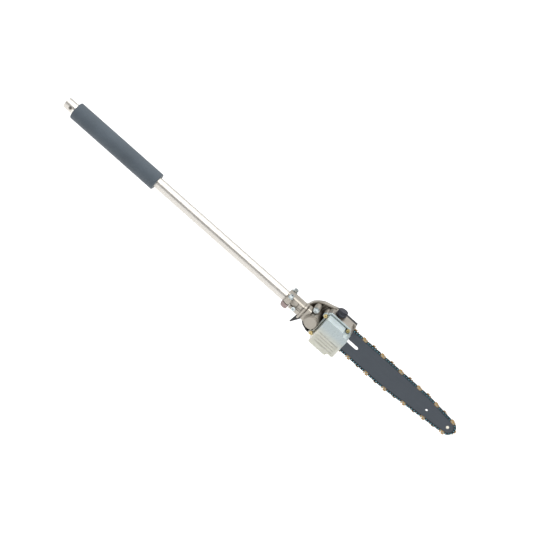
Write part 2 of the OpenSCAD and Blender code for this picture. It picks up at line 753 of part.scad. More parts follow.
module cap_seal() {
  color([0.20, 0.20, 0.21]) at_filler() difference() {
    translate([0, 0, seal_z]) cylinder(h = 1.6, r = cap_d / 2 - 2.6);
    translate([0, 0, seal_z - 1]) cylinder(h = 4, r = cap_d / 2 - 5.2);
  }
}

module oil_hose() {
  color([0.15, 0.15, 0.16]) difference() {
    union() {
      zrod(-10, 24, 2.5, tank_x + 22, 4);
      yrod(4, 25, 2.5, tank_x + 22, 24);
      translate([tank_x + 22, 4, 24]) sphere(2.5);
    }
    yrod(5, 26, 1.2, tank_x + 22, 24);
  }
}

module oil_filter() {
  color([0.72, 0.60, 0.42]) difference() {
    zrod(-22, -6, 5, tank_x + 22, 4);
    zrod(-10, -5, 2.5, tank_x + 22, 4);
  }
}

module bar_stud() {
  color([0.70, 0.72, 0.73]) yrod(24.2, cover_y + 9, stud_r, stud_x);
}

module bar_nut() {
  color([0.70, 0.72, 0.73]) difference() {
    union() {
      yrod(cover_y, cover_y + 1.6, 9.5, stud_x);
      translate([stud_x, cover_y + 1, 0]) rotate([-90, 0, 0]) cylinder(h = 6.4, r = 7.5, $fn = 6);
    }
    yrod(cover_y - 1, cover_y + 10, stud_r, stud_x);
  }
}

module inner_plate() {
  color([0.62, 0.63, 0.64]) difference() {
    across(back_y, back_y + 1.35) rounded([tail_x + 6, -17], [tank_end - 3, 17], 4);
    yrod(back_y - 1, back_y + 3, stud_r, stud_x);
    block([pin_x - 3 - bar_travel, back_y - 1, pin_z - 3], [pin_x + 3, back_y + 3, pin_z + 3]);
  }
}

module tension_screw() {
  color([0.66, 0.68, 0.69]) difference() {
    union() {
      xrod(pin_x - 14, tank_end - 1, 2.5, screw_y, pin_z);
      xrod(tank_end - 3.9, tank_end - 0.4, 4.3, screw_y, pin_z);
    }
    block([tank_end - 2, screw_y - 0.6, pin_z - 5], [tank_end + 1, screw_y + 0.6, pin_z + 5]);
  }
}

module tension_block() {
  color([0.58, 0.58, 0.59]) difference() {
    union() {
      block([pin_x - 5, screw_y - 4, pin_z - 4], [pin_x + 5, back_y - 0.5, pin_z + 4]);
      yrod(back_y - 1, bar_y + bar_thickness / 2, 2.4, pin_x, pin_z);
    }
    xrod(pin_x - 6, pin_x + 6, 2.5 + run_gap, screw_y, pin_z);
  }
}

// Outline of the sprocket cover without its hook, drawn inward by the amount inset and open toward the nose
module cover_outline(inset, front) {
  translate([axis_x, 0]) circle(cover_rear_r - inset);
  polygon([
    [axis_x - 2, cover_rear_r - inset], [axis_x + 17.5, tank_top - 5.6 - inset],
    [axis_x + 26.5, tank_top - 1.4 - inset], [axis_x + 30, tank_top - inset], [front, tank_top - inset],
    [front, inset - 45], [axis_x + 6.5, inset - 45],
    [axis_x - 6 + 0.5 * inset, 0.9 * inset - 40], [axis_x - 15 + 0.7 * inset, 0.7 * inset - 32.5],
    [axis_x - 22 + 0.9 * inset, 0.4 * inset - 22], [axis_x - 25 + inset, -8]
  ]);
}

module sprocket_cover() {
  color([0.05, 0.05, 0.06]) difference() {
    union() {
      across(back_y, cover_y - 4) cover_outline(0, tank_end - 2);
      across(back_y + 1, cover_y) cover_outline(3, tank_end - 2);
      across(back_y, back_y + 6) polygon([
        [axis_x - 14, -18], [axis_x - 28.5, -22], [axis_x - 31.8, -30 - hook_length],
        [axis_x - 29.5, -30 - hook_length], [axis_x - 17.5, -33], [axis_x - 12, -35]
      ]);
    }
    difference() {
      union() {
        across(back_y - 1, cover_y - 4 - cover_wall) cover_outline(cover_wall, tank_end + 1);
        across(back_y, cover_y - cover_wall) cover_outline(3 + cover_wall, tank_end + 1);
      }
      yrod(bar_y + bar_thickness / 2 + run_gap, cover_y, 9, stud_x);
    }
    yrod(back_y, cover_y + 1, stud_r, stud_x);
  }
}

// Openings in the bar's side plates: mounting slot, two pin holes and the hanging hole
module bar_openings() {
  translate([slot_start, -slot_width / 2]) square([slot_end - slot_start, slot_width]);
  for (x = [slot_start, slot_end]) translate([x, 0]) circle(slot_width / 2);
  for (side = [-1, 1]) translate([pin_x, side * -pin_z]) circle(2.5);
  translate([axis_x + bar_reach * 0.845, 0.5]) circle(bar_hole_d / 2);
}

bar_ids = [1, 2, 3, 4, 5];

module bar_plates() {
  color([0.32, 0.34, 0.36]) for (y = [bar_y - bar_thickness / 2, bar_y + groove_w / 2])
    across(y, y + plate_t) difference() {
      polygon(belt_points(bar_ids, 0));
      bar_openings();
      translate([nose_x, nose_rise]) circle(2.4);
    }
}

module bar_core() {
  color([0.30, 0.31, 0.33]) across(bar_y - groove_w / 2, bar_y + groove_w / 2) difference() {
    polygon(belt_points(bar_ids, -groove_depth));
    bar_openings();
    translate([nose_x, nose_rise]) circle(nose_radius - 1.5);
  }
}

nose_teeth = 7;
nose_star_r = nose_radius + pitch_offset - tang_depth - 0.6;

module nose_sprocket() {
  color([0.50, 0.50, 0.52]) across(bar_y - gauge / 2, bar_y + gauge / 2) difference() {
    union() {
      translate([nose_x, nose_rise]) circle(nose_star_r - 1.4);
      for (i = [0:nose_teeth - 1]) translate([nose_x, nose_rise]) rotate(i * 360 / nose_teeth)
        polygon([[0, -2.6], [nose_star_r - 0.2, -1], [nose_star_r - 0.2, 1], [0, 2.6]]);
    }
    translate([nose_x, nose_rise]) circle(4.4 + run_gap);
  }
}

module nose_rivet() {
  color([0.86, 0.84, 0.76]) union() {
    yrod(bar_y - gauge / 2, bar_y + gauge / 2, 4.4, nose_x, nose_rise);
    yrod(bar_y - bar_thickness / 2 - 0.1, bar_y + bar_thickness / 2 + 0.1, 2.4, nose_x, nose_rise);
    for (y = [bar_y - bar_thickness / 2 - 0.5, bar_y + bar_thickness / 2])
      yrod(y, y + 0.5, 3.4, nose_x, nose_rise);
  }
}

// Places children at rivet k, with X toward the next rivet and Y away from the bar
module at_link(k) {
  a = rivet_at(k);
  b = rivet_at(k + 1);
  translate(a) rotate(atan2(b[1] - a[1], b[0] - a[0])) children();
}

// Drive link whose rivets are p apart: body around two rivets and a tang that runs in the bar groove
module drive_link_outline(p) {
  difference() {
    polygon([
      [-2.3, -0.8], [-2.3, 0.8], [-1.2, 2.2], [p + 1.2, 2.2], [p + 2.3, 0.8], [p + 2.3, -0.8],
      [p + 0.6, -2.6], [p / 2 + 1.9, -tang_depth], [p / 2 - 0.2, -tang_depth], [-0.6, -2.6]
    ]);
    for (x = [0, p]) translate([x, 0]) circle(rivet_hole_r);
  }
}

module strap_outline(p) {
  difference() {
    polygon([
      [-2.4, -1], [-2.4, 1], [-1.2, 2.4], [p + 1.2, 2.4], [p + 2.4, 1], [p + 2.4, -1],
      [p + 1.2, -strap_foot], [-1.2, -strap_foot]
    ]);
    for (x = [0, p]) translate([x, 0]) circle(rivet_hole_r);
  }
}

// Cutter side plate: cutting edge at the rear, gullet, then the depth gauge at the front
module cutter_outline(p) {
  difference() {
    polygon([
      [-2.4, -1], [-3, 2], [-3.2, tip_height - 0.5], [p / 2 + 0.6, tip_height], [p / 2 - 0.4, 2],
      [p - 1.2, 1.8], [p - 0.2, tip_height - 0.6], [p + 1.6, tip_height - 0.8], [p + 2.4, 1.6],
      [p + 2.4, -1], [p + 1.2, -strap_foot], [-1.2, -strap_foot]
    ]);
    for (x = [0, p]) translate([x, 0]) circle(rivet_hole_r);
  }
}

module strap_at(k) {
  at_link(k) strap_outline(link_chord(k));
}

module cutter_at(k) {
  at_link(k) cutter_outline(link_chord(k));
}

module chain_drive_links() {
  color([0.38, 0.37, 0.36]) across(bar_y - gauge / 2, bar_y + gauge / 2)
    for (i = [0:drive_links - 1]) at_link(2 * i) drive_link_outline(link_chord(2 * i));
}

near_strap_y = bar_y - gauge / 2 - strap_thickness;
far_strap_y = bar_y + gauge / 2;

module chain_straps() {
  color([0.30, 0.29, 0.29]) {
    across(near_strap_y, near_strap_y + strap_thickness)
      for (i = [0:drive_links - 1]) if (i % 4 != 0) strap_at(2 * i + 1);
    across(far_strap_y, far_strap_y + strap_thickness)
      for (i = [0:drive_links - 1]) if (i % 4 != 2) strap_at(2 * i + 1);
  }
}

// Top plate of a cutter, drawn in the same frame as its side plate
module cutter_top() {
  polygon([[-3.2, tip_height - 1.4], [-3.2, tip_height - 0.5], [link_step / 2 + 0.6, tip_height],
    [link_step / 2 + 0.4, tip_height - 0.9]]);
}

module chain_cutters() {
  color([0.72, 0.58, 0.36]) {
    for (i = [0:drive_links - 1]) if (i % 4 == 0) union() {
      across(near_strap_y, near_strap_y + strap_thickness) cutter_at(2 * i + 1);
      across(near_strap_y - 0.6, bar_y + 0.4) at_link(2 * i + 1) cutter_top();
    }
    for (i = [0:drive_links - 1]) if (i % 4 == 2) union() {
      across(far_strap_y, far_strap_y + strap_thickness) cutter_at(2 * i + 1);
      across(bar_y - 0.4, far_strap_y + strap_thickness + 0.6) at_link(2 * i + 1) cutter_top();
    }
  }
}

module chain_rivets() {
  color([0.55, 0.60, 0.62]) for (k = [0:2 * drive_links - 1])
    yrod(near_strap_y - 0.3, far_strap_y + strap_thickness + 0.3, rivet_r, rivet_at(k)[0], rivet_at(k)[1]);
}

pole_tube();
end_ferrule();
insertion_band();
foam_grip();
shaft_bushes();
drive_shaft();
gearcase();
clamp_cap();
clamp_bolts();
clamp_washers();
locating_screw();
pinion_bearings();
pinion_spacer();
pinion_clip();
bevel_pinion();
bevel_gear();
output_shaft();
shaft_sleeve();
output_bearings();
shaft_seal();
bearing_cap();
case_bolt();
drive_sprocket();
sprocket_washer();
sprocket_clip();
oil_bowl();
bowl_gasket();
bowl_screws();
oil_cap();
cap_seal();
oil_hose();
oil_filter();
bar_stud();
bar_nut();
inner_plate();
tension_screw();
tension_block();
sprocket_cover();
bar_plates();
bar_core();
nose_sprocket();
nose_rivet();
chain_drive_links();
chain_straps();
chain_cutters();
chain_rivets();
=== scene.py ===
import math

import bmesh
import bpy
from bpy.props import FloatProperty, FloatVectorProperty, IntProperty, PointerProperty
from mathutils import Matrix, Vector


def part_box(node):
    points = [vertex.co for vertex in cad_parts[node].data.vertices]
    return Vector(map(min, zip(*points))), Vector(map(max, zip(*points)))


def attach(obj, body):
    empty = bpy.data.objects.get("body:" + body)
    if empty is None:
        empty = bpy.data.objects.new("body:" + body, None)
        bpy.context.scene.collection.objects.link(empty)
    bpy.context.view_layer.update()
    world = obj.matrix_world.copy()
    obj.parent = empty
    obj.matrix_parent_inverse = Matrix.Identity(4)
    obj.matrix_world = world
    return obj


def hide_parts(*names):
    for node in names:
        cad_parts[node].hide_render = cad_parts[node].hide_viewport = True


bl_info = {
    "name": "Pole saw attachment",
    "version": (1, 0, 0),
    "blender": (4, 5, 0),
    "location": "3D View > Sidebar > Pole Saw",
    "description": "Finishes, foam grip, oil bowl, cap, cover and stage for a pole saw attachment",
    "category": "Object",
}

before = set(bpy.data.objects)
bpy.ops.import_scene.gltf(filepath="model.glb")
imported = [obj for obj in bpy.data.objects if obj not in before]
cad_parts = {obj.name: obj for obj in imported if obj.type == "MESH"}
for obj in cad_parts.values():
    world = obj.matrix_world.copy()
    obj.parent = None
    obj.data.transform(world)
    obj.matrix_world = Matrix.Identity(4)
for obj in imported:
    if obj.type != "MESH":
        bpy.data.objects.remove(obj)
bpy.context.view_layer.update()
HEAD = "pole_and_head"
# Foot of the filler neck, on the axis that the oil cap turns about
CAP_SEAT = (0.718, 0.013, 0.040)
# Corners of the flat pad on the near side of the neck
PAD_LOW = Vector((0.6365, -0.01525, 0.0035))
PAD_HIGH = Vector((0.6475, -0.01525, 0.0120))
# Edges shallower than this are shaded smooth
SMOOTH_ANGLE = math.radians(35)


# ---------------------------------------------------------------- settings


def colour(name, text, value):
    return FloatVectorProperty(
        name=name, description=text, subtype="COLOR", size=3, min=0.0, max=1.0, default=value
    )


def length(name, text, value):
    return FloatProperty(name=name, description=text, unit="LENGTH", default=value, min=0.0)


class PoleSawFinishes(bpy.types.PropertyGroup):
    """Colours of the finishes"""

    tube: colour("Tube", "Drawn aluminium of the pole tube", (0.60, 0.575, 0.535))
    casting: colour("Casting", "Cast aluminium of the gear head", (0.43, 0.40, 0.35))
    clamp: colour("Clamp", "Cast lower half of the tube clamp", (0.34, 0.27, 0.26))
    zinc: colour("Zinc", "Zinc-plated bolts", (0.56, 0.61, 0.62))
    yellow_zinc: colour("Yellow zinc", "Yellow-plated bowl screws", (0.62, 0.50, 0.24))
    foam: colour("Foam", "Closed-cell foam of the grip", (0.058, 0.075, 0.092))
    bowl: colour("Bowl", "Milky plastic of the oil bowl", (0.62, 0.62, 0.54))
    cap: colour("Cap", "Moulded plastic of the oil cap", (0.006, 0.008, 0.018))
    cover: colour("Cover", "Moulded plastic of the sprocket cover", (0.006, 0.006, 0.007))
    bar: colour("Bar", "Steel of the guide bar", (0.075, 0.085, 0.098))
    chain: colour("Chain", "Oiled steel of the straps and drive links", (0.020, 0.021, 0.024))
    cutter: colour("Cutter", "Bronze-tinted plating of the cutters", (0.36, 0.23, 0.10))


class PoleSawGrip(bpy.types.PropertyGroup):
    """Shape of the foam grip"""

    edge: length("Edge", "Rounding of the two end edges", 0.0022)
    dish: length("Dish", "How far the end faces sink toward the tube", 0.0008)
    sides: IntProperty(name="Sides", description="Steps around the grip", default=96, min=24, max=256)


class PoleSawBowl(bpy.types.PropertyGroup):
    """Shape of the oil bowl"""

    wall: length("Wall", "Wall of the bowl", 0.002)
    edge: length("Edge", "Rounding of the bowl's near edges", 0.003)
    corner: length("Corner", "Rounding of the upper corners that run across the tool", 0.0024)
    foot: length("Foot", "Rounding of the lower corners that run across the tool", 0.0052)
    flange: length("Flange", "Thickness of the bowl's flange", 0.004)
    ear: length("Ear", "Radius of the screw ears", 0.006)


class PoleSawCap(bpy.types.PropertyGroup):
    """Shape of the oil cap"""

    tilt: FloatProperty(name="Tilt", description="Lean of the filler neck toward the pole", subtype="ANGLE",
                        default=math.radians(9.0))
    radius: length("Radius", "Outer radius of the collar", 0.01125)
    collar: length("Collar", "Height of the collar", 0.0056)
    height: length("Height", "Height of the cap", 0.013)
    bore: length("Bore", "Radius of the thread", 0.0087)
    ribs: IntProperty(name="Ribs", description="Ribs around the hand grip", default=24, min=8, max=60)


class PoleSawCover(bpy.types.PropertyGroup):
    """Shape of the sprocket cover"""

    wall: length("Wall", "Wall of the cover", 0.0024)
    edge: length("Edge", "Rounding of the far edge", 0.004)
    rear: length("Rear", "Radius of the rear round", 0.0265)
    hook: length("Hook", "Thickness of the hook", 0.006)


class PoleSawStage(bpy.types.PropertyGroup):
    """Camera, lights and floor"""

    elevation: FloatProperty(name="Elevation", description="Height of the camera above the horizon",
                             subtype="ANGLE", default=math.radians(23.0))
    roll: FloatProperty(name="Roll", description="Turn of the camera about its own axis",
                        subtype="ANGLE", default=math.radians(41.5))
    distance: length("Distance", "Distance from the camera to the point it looks at", 2.19)
    aim_x: length("Aim X", "Place along the tool that the camera looks at", 0.535)
    aim_z: length("Aim Z", "Height that the camera looks at", 0.0205)
    lens: FloatProperty(name="Lens", description="Focal length in millimetres", default=71.6, min=10.0)
    drop: length("Drop", "Height of the tool above the floor", 1.4)
    brightness: FloatProperty(name="Brightness", description="Strength of the soft sky", default=1.0, min=0.0)
    sun: FloatProperty(name="Overhead", description="Strength of the overhead light", default=1.9, min=0.0)


GROUPS = {
    "pole_saw_finishes": PoleSawFinishes,
    "pole_saw_grip": PoleSawGrip,
    "pole_saw_bowl": PoleSawBowl,
    "pole_saw_cap": PoleSawCap,
    "pole_saw_cover": PoleSawCover,
    "pole_saw_stage": PoleSawStage,
}


# ---------------------------------------------------------------- materials


class Shader:
    """A material's node tree, with short calls for the nodes the finishes use."""

    def __init__(self, name):
        self.material = bpy.data.materials.new(name)
        self.material.use_nodes = True
        self.tree = self.material.node_tree
        self.bsdf = self.tree.nodes["Principled BSDF"]
        self.coords = self.tree.nodes.new("ShaderNodeTexCoord")

    def link(self, out, into):
        self.tree.links.new(out, into)

    def place(self, scale=(1, 1, 1)):
        node = self.tree.nodes.new("ShaderNodeMapping")
        node.inputs["Scale"].default_value = scale
        self.link(self.coords.outputs["Object"], node.inputs["Vector"])
        return node.outputs["Vector"]

    def noise(self, scale, detail=4.0, roughness=0.55, stretch=(1, 1, 1)):
        node = self.tree.nodes.new("ShaderNodeTexNoise")
        node.inputs["Scale"].default_value = scale
        node.inputs["Detail"].default_value = detail
        node.inputs["Roughness"].default_value = roughness
        self.link(self.place(stretch), node.inputs["Vector"])
        return node.outputs["Fac"]

    def cells(self, scale):
        node = self.tree.nodes.new("ShaderNodeTexVoronoi")
        node.inputs["Scale"].default_value = scale
        self.link(self.place(), node.inputs["Vector"])
        return node.outputs["Distance"]

    def spread(self, value, low, high, from_low=0.0, from_high=1.0):
        node = self.tree.nodes.new("ShaderNodeMapRange")
        node.inputs["From Min"].default_value = from_low
        node.inputs["From Max"].default_value = from_high
        node.inputs["To Min"].default_value = low
        node.inputs["To Max"].default_value = high
        self.link(value, node.inputs["Value"])
        return node.outputs["Result"]

    def maths(self, kind, a, b):
        node = self.tree.nodes.new("ShaderNodeMath")
        node.operation = kind
        for socket, value in zip(node.inputs, (a, b)):
            if isinstance(value, (int, float)):
                socket.default_value = value
            else:
                self.link(value, socket)
        return node.outputs["Value"]

    def blend(self, factor, a, b):
        node = self.tree.nodes.new("ShaderNodeMix")
        node.data_type = "RGBA"
        if isinstance(factor, (int, float)):
            node.inputs["Factor"].default_value = factor
        else:
            self.link(factor, node.inputs["Factor"])
        for socket, value in (("A", a), ("B", b)):
            sock = [s for s in node.inputs if s.name == socket and s.type == "RGBA"][0]
            if isinstance(value, (tuple, list)):
                sock.default_value = (*value[:3], 1.0)
            else:
                self.link(value, sock)
        return [s for s in node.outputs if s.type == "RGBA"][0]

    def bump(self, height, strength, distance, edge=0.0):
        node = self.tree.nodes.new("ShaderNodeBump")
        node.inputs["Strength"].default_value = strength
        node.inputs["Distance"].default_value = distance
        self.link(height, node.inputs["Height"])
        if edge:
            soft = self.tree.nodes.new("ShaderNodeBevel")
            soft.samples = 4
            soft.inputs["Radius"].default_value = edge
            self.link(soft.outputs["Normal"], node.inputs["Normal"])
        self.link(node.outputs["Normal"], self.bsdf.inputs["Normal"])
        return node

    def shelter(self, distance, low, high):
        """1 on open surfaces, falling to 0 in crevices and recesses."""
        node = self.tree.nodes.new("ShaderNodeAmbientOcclusion")
        node.samples = 8
        node.inputs["Distance"].default_value = distance
        return self.spread(node.outputs["AO"], 0.0, 1.0, low, high)

    def set(self, **values):
        for name, value in values.items():
            socket = self.bsdf.inputs[name.replace("_", " ")]
            if isinstance(value, bpy.types.NodeSocket):
                self.link(value, socket)
            else:
                socket.default_value = (*value, 1.0) if isinstance(value, tuple) else value


def shade(base, by):
    """The colour base, lighter or darker by a factor."""
    return tuple(min(1.0, c * by) for c in base[:3])


def metal(name, base, rough=0.35, grain=(1, 1, 1), grain_scale=300.0, edge=0.0005, bump=0.00004,
          tone=0.14, metallic=1.0):
    """Metal with a fine grain, cloudy tone and slightly softened edges."""
    s = Shader(name)
    fine = s.noise(grain_scale, 5.0, 0.6, grain)
    cloud = s.noise(22.0, 3.0, 0.5)
    s.set(
        Base_Color=s.blend(cloud, shade(base, 1.0 - tone), shade(base, 1.0 + tone)),
        Roughness=s.spread(s.maths("ADD", s.maths("MULTIPLY", fine, 0.6), s.maths("MULTIPLY", cloud, 0.4)),
                           rough - 0.09, rough + 0.09, 0.3, 0.7),
        Metallic=metallic,
    )
    s.bump(fine, 0.5, bump, edge)
    return s.material


def cast_metal(name, base, rough=0.42):
    """Sand-blasted casting: fine pits, cloudy oxide, softened edges, and painted shade darkening its crevices
    and recesses.
    """
    s = Shader(name)
    grain = s.noise(900.0, 3.0, 0.7)
    pits = s.cells(620.0)
    cloud = s.noise(35.0, 4.0, 0.6)
    open_tone = s.blend(cloud, shade(base, 0.86), shade(base, 1.14))
    # Painted shade: a dark brown that the colour falls to where ambient occlusion finds crevices and recesses
    painted_recess_shade = tuple(c * k for c, k in zip(base, (0.20, 0.17, 0.15)))
    s.set(
        Base_Color=s.blend(s.shelter(0.012, 0.25, 0.85), painted_recess_shade, open_tone),
        Roughness=s.spread(cloud, rough - 0.06, rough + 0.1, 0.3, 0.7),
        Metallic=0.85,
    )
    s.bump(s.maths("ADD", grain, s.maths("MULTIPLY", pits, 0.6)), 0.45, 0.00012, 0.0009)
    return s.material


def moulded(name, base, rough=0.4, grain=1400.0, edge=0.0006, bump=0.00005, coat=0.0):
    """Moulded plastic with a fine spark-eroded grain."""
    s = Shader(name)
    fine = s.noise(grain, 3.0, 0.6)
    cloud = s.noise(40.0, 2.0, 0.5)
    s.set(
        Base_Color=s.blend(cloud, shade(base, 0.85), shade(base, 1.2)),
        Roughness=s.spread(fine, rough - 0.07, rough + 0.07, 0.3, 0.7),
        Coat_Weight=coat,
    )
    s.bump(fine, 0.5, bump, edge)
    return s.material


def foam_rubber(name, base):
    """Closed-cell foam: small open pores in a skin with a faint sheen."""
    s = Shader(name)
    pores = s.spread(s.cells(850.0), 0.0, 1.0, 0.05, 0.5)
    specks = s.noise(2200.0, 2.0, 0.7)
    cloud = s.noise(14.0, 4.0, 0.6)
    s.set(
        Base_Color=s.blend(s.maths("MULTIPLY", pores, cloud), shade(base, 0.72), shade(base, 1.35)),
        Roughness=s.spread(specks, 0.62, 0.86, 0.3, 0.7),
        Sheen_Weight=0.25,
        Sheen_Roughness=0.45,
    )
    s.bump(s.maths("ADD", pores, s.maths("MULTIPLY", specks, 0.5)), 0.55, 0.00025)
    return s.material


def bowl_plastic(name, base):
    """Milky plastic: creamier and cloudier low down, clearer and bluer higher up."""
    s = Shader(name)
    split = s.tree.nodes.new("ShaderNodeSeparateXYZ")
    s.link(s.coords.outputs["Object"], split.inputs["Vector"])
    low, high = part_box("oil_bowl")
    # Blend weight from the creamier low colour to the clearer, bluer high colour, by height in the bowl
    level = s.spread(split.outputs["Z"], 0.0, 1.0, low.z + 0.030, low.z + 0.048)
    cloud = s.noise(30.0, 3.0, 0.5)
    milk = s.blend(cloud, shade(base, 0.93), shade(base, 1.07))
    clear = tuple(c * k for c, k in zip(base, (0.84, 0.96, 1.12)))
    s.set(
        Base_Color=s.blend(level, milk, clear),
        Roughness=s.spread(s.noise(500.0, 3.0), 0.22, 0.36, 0.3, 0.7),
        Transmission_Weight=s.spread(level, 0.12, 0.24),
        IOR=1.49,
    )
    s.bsdf.inputs["Subsurface Weight"].default_value = 0.35
    s.bsdf.inputs["Subsurface Radius"].default_value = (0.01, 0.01, 0.008)
    s.bump(s.noise(260.0, 2.0), 0.25, 0.00008)
    return s.material


def paint(obj, material):
    """Gives a piece one material, in every slot it has."""
    if not obj.data.materials:
        obj.data.materials.append(material)
    for i in range(len(obj.data.materials)):
        obj.data.materials[i] = material


def paint_nodes(material, *names):
    """Gives a material to CAD nodes."""
    for name in names:
        paint(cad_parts[name], material)


# ---------------------------------------------------------------- mesh help


def finished(bm, name, body, material, replaces=()):
    """Turns a bmesh into a piece that rides on a body."""
    bmesh.ops.recalc_face_normals(bm, faces=bm.faces)
    for edge in bm.edges:
        edge.smooth = len(edge.link_faces) == 2 and edge.calc_face_angle(0.0) < SMOOTH_ANGLE
    mesh = bpy.data.meshes.new(name)
    bm.to_mesh(mesh)
    bm.free()
    mesh.shade_smooth()
    obj = bpy.data.objects.new(name, mesh)
    bpy.context.scene.collection.objects.link(obj)
    paint(obj, material)
    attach(obj, body)
    if replaces:
        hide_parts(*replaces)
    return obj


def lathe(profile, start, axis, steps, closed=True):
    """Solid turned from a profile of (distance along axis, radius) about an axis through start.
    A profile that isn't closed starts and ends on the axis."""
    bm = bmesh.new()
    axis = Vector(axis).normalized()
    side = axis.orthogonal().normalized()
    verts = [bm.verts.new(Vector(start) + axis * a + side * r) for a, r in profile]
    last = len(verts) if closed else len(verts) - 1
    edges = [bm.edges.new((verts[i], verts[(i + 1) % len(verts)])) for i in range(last)]
    bmesh.ops.spin(bm, geom=verts + edges, cent=start, axis=axis, angle=math.tau, steps=steps, use_merge=True)
    bmesh.ops.remove_doubles(bm, verts=bm.verts, dist=1e-6)
    return bm


def slab(bm, outline, y0, y1):
    """Closed slab: an outline of (x, z) points at y0, extruded across the tool to y1."""
    face = bm.faces.new([bm.verts.new((x, y0, z)) for x, z in outline])
    out = bmesh.ops.extrude_face_region(bm, geom=[face], use_keep_orig=True)["geom"]
    moved = [v for v in out if isinstance(v, bmesh.types.BMVert)]
    bmesh.ops.translate(bm, verts=moved, vec=(0, y1 - y0, 0))
    bmesh.ops.recalc_face_normals(bm, faces=bm.faces)
    return list(face.verts) + moved


def hollow(bm, mouth, wall, depth):
    """Sinks a recess of a depth into the solid behind the face mouth, leaving a wall around it."""
    bmesh.ops.inset_region(bm, faces=[mouth], thickness=wall, use_even_offset=True, use_boundary=True)
    normal = mouth.normal.copy()
    out = bmesh.ops.extrude_face_region(bm, geom=[mouth])["geom"]
    moved = [v for v in out if isinstance(v, bmesh.types.BMVert)]
    bmesh.ops.translate(bm, verts=moved, vec=-normal * depth)
    bmesh.ops.delete(bm, geom=[mouth], context="FACES_ONLY")


def face_at_y(bm, y):
    """Largest face that lies in the plane y."""
    bmesh.ops.recalc_face_normals(bm, faces=bm.faces)
    faces = [f for f in bm.faces if all(abs(v.co.y - y) < 1e-6 for v in f.verts)]
    return max(faces, key=lambda f: f.calc_area())


def at_y(bm, verts, y):
    """Edges among verts that lie in the plane y."""
    own = {v for v in verts if v.is_valid and abs(v.co.y - y) < 1e-6}
    return [e for e in bm.edges if e.verts[0] in own and e.verts[1] in own]


def soften(bm, edges, width, segments=4):
    """Rounds edges."""
    bmesh.ops.bevel(bm, geom=edges, offset=width, offset_type="OFFSET", affect="EDGES", segments=segments,
                    profile=0.5, material=-1, clamp_overlap=True)


def arc(x, z, r, start, end, steps):
    """Points on a circle of radius r about (x, z), with angles in degrees."""
    turn = [math.radians(start + (end - start) * i / steps) for i in range(steps + 1)]
    return [(x + r * math.cos(t), z + r * math.sin(t)) for t in turn]


def peg(bm, matrix, radius, depth, edge, sides, steps):
    """Round peg along the matrix's own Z, with softened rims."""
    made = bmesh.ops.create_cone(bm, cap_ends=True, segments=sides, radius1=radius, radius2=radius,
                                 depth=depth, matrix=matrix)["verts"]
    height = {v: (matrix.inverted() @ v.co).z for v in made}
    rims = [e for e in bm.edges if e.verts[0] in height and e.verts[1] in height
            and abs(height[e.verts[0]] - height[e.verts[1]]) < 1e-6]
    soften(bm, rims, edge, steps)


def band(bm, outline, y, width, depth):
    """Closed band inside an outline of (x, z) points at y, extruded across the tool by depth."""
    plate = bm.faces.new([bm.verts.new((x, y, z)) for x, z in outline])
    plate.normal_update()
    ring = bmesh.ops.inset_region(bm, faces=[plate], thickness=width, use_even_offset=True,
                                  use_boundary=True)["faces"]
    bmesh.ops.delete(bm, geom=[plate], context="FACES_ONLY")
    out = bmesh.ops.extrude_face_region(bm, geom=ring, use_keep_orig=True)["geom"]
    moved = [v for v in out if isinstance(v, bmesh.types.BMVert)]
    bmesh.ops.translate(bm, verts=moved, vec=(0, depth, 0))
    return moved


# ---------------------------------------------------------------- operators


class PoleSawOperator:
    bl_options = {"REGISTER", "UNDO"}


class POLESAW_OT_tube(PoleSawOperator, bpy.types.Operator):
    """Finishes the pole tube, its band and the shaft inside it"""

    bl_idname = "pole_saw.tube"
    bl_label = "Tube and shaft"

    def execute(self, context):
        f = context.scene.pole_saw_finishes
        paint_nodes(metal("drawn aluminium", f.tube, 0.36, (0.02, 1, 1), 420.0, 0.0004, 0.00002, 0.05),
                    "pole_tube", "end_ferrule")
        paint_nodes(metal("bright band", shade(f.tube, 1.35), 0.2), "insertion_band")
        paint_nodes(moulded("bush plastic", (0.02, 0.02, 0.022), 0.5), "shaft_bushes")
        paint_nodes(metal("ground steel", (0.42, 0.43, 0.45), 0.3, (0.05, 1, 1)), "drive_shaft")
        return {"FINISHED"}


class POLESAW_OT_grip(PoleSawOperator, bpy.types.Operator):
    """Makes the foam grip"""

    bl_idname = "pole_saw.grip"
    bl_label = "Foam grip"

    def execute(self, context):
        g = context.scene.pole_saw_grip
        low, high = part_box("foam_grip")
        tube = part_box("pole_tube")[1].z
        outer = high.z - 0.0001
        span = high.x - low.x
        profile = [(g.dish, tube), (0.0003, tube + 0.0015), (0.0, outer - g.edge - 0.001)]
        corner = [(g.edge - g.edge * math.cos(t), outer - g.edge + g.edge * math.sin(t))
                  for t in (0.0, 0.4, 0.8, 1.2, math.pi / 2)]
        profile += corner
        # Faint unevenness of the foam along the grip
        waves, unevenness = 24, 0.00012
        profile += [(g.edge + (span - 2 * g.edge) * i / waves, outer - unevenness * math.sin(2.4 * i) ** 2)
                    for i in range(1, waves)]
        profile += [(span - a, r) for a, r in reversed(corner)]
        profile += [(span, outer - g.edge - 0.001), (span - 0.0003, tube + 0.0015), (span - g.dish, tube)]
        bm = lathe(profile, (low.x, 0, 0), (1, 0, 0), g.sides)
        foam = foam_rubber("closed-cell foam", context.scene.pole_saw_finishes.foam)
        grip = finished(bm, "foam_sleeve", HEAD, foam, ["foam_grip"])
        return {"FINISHED"}


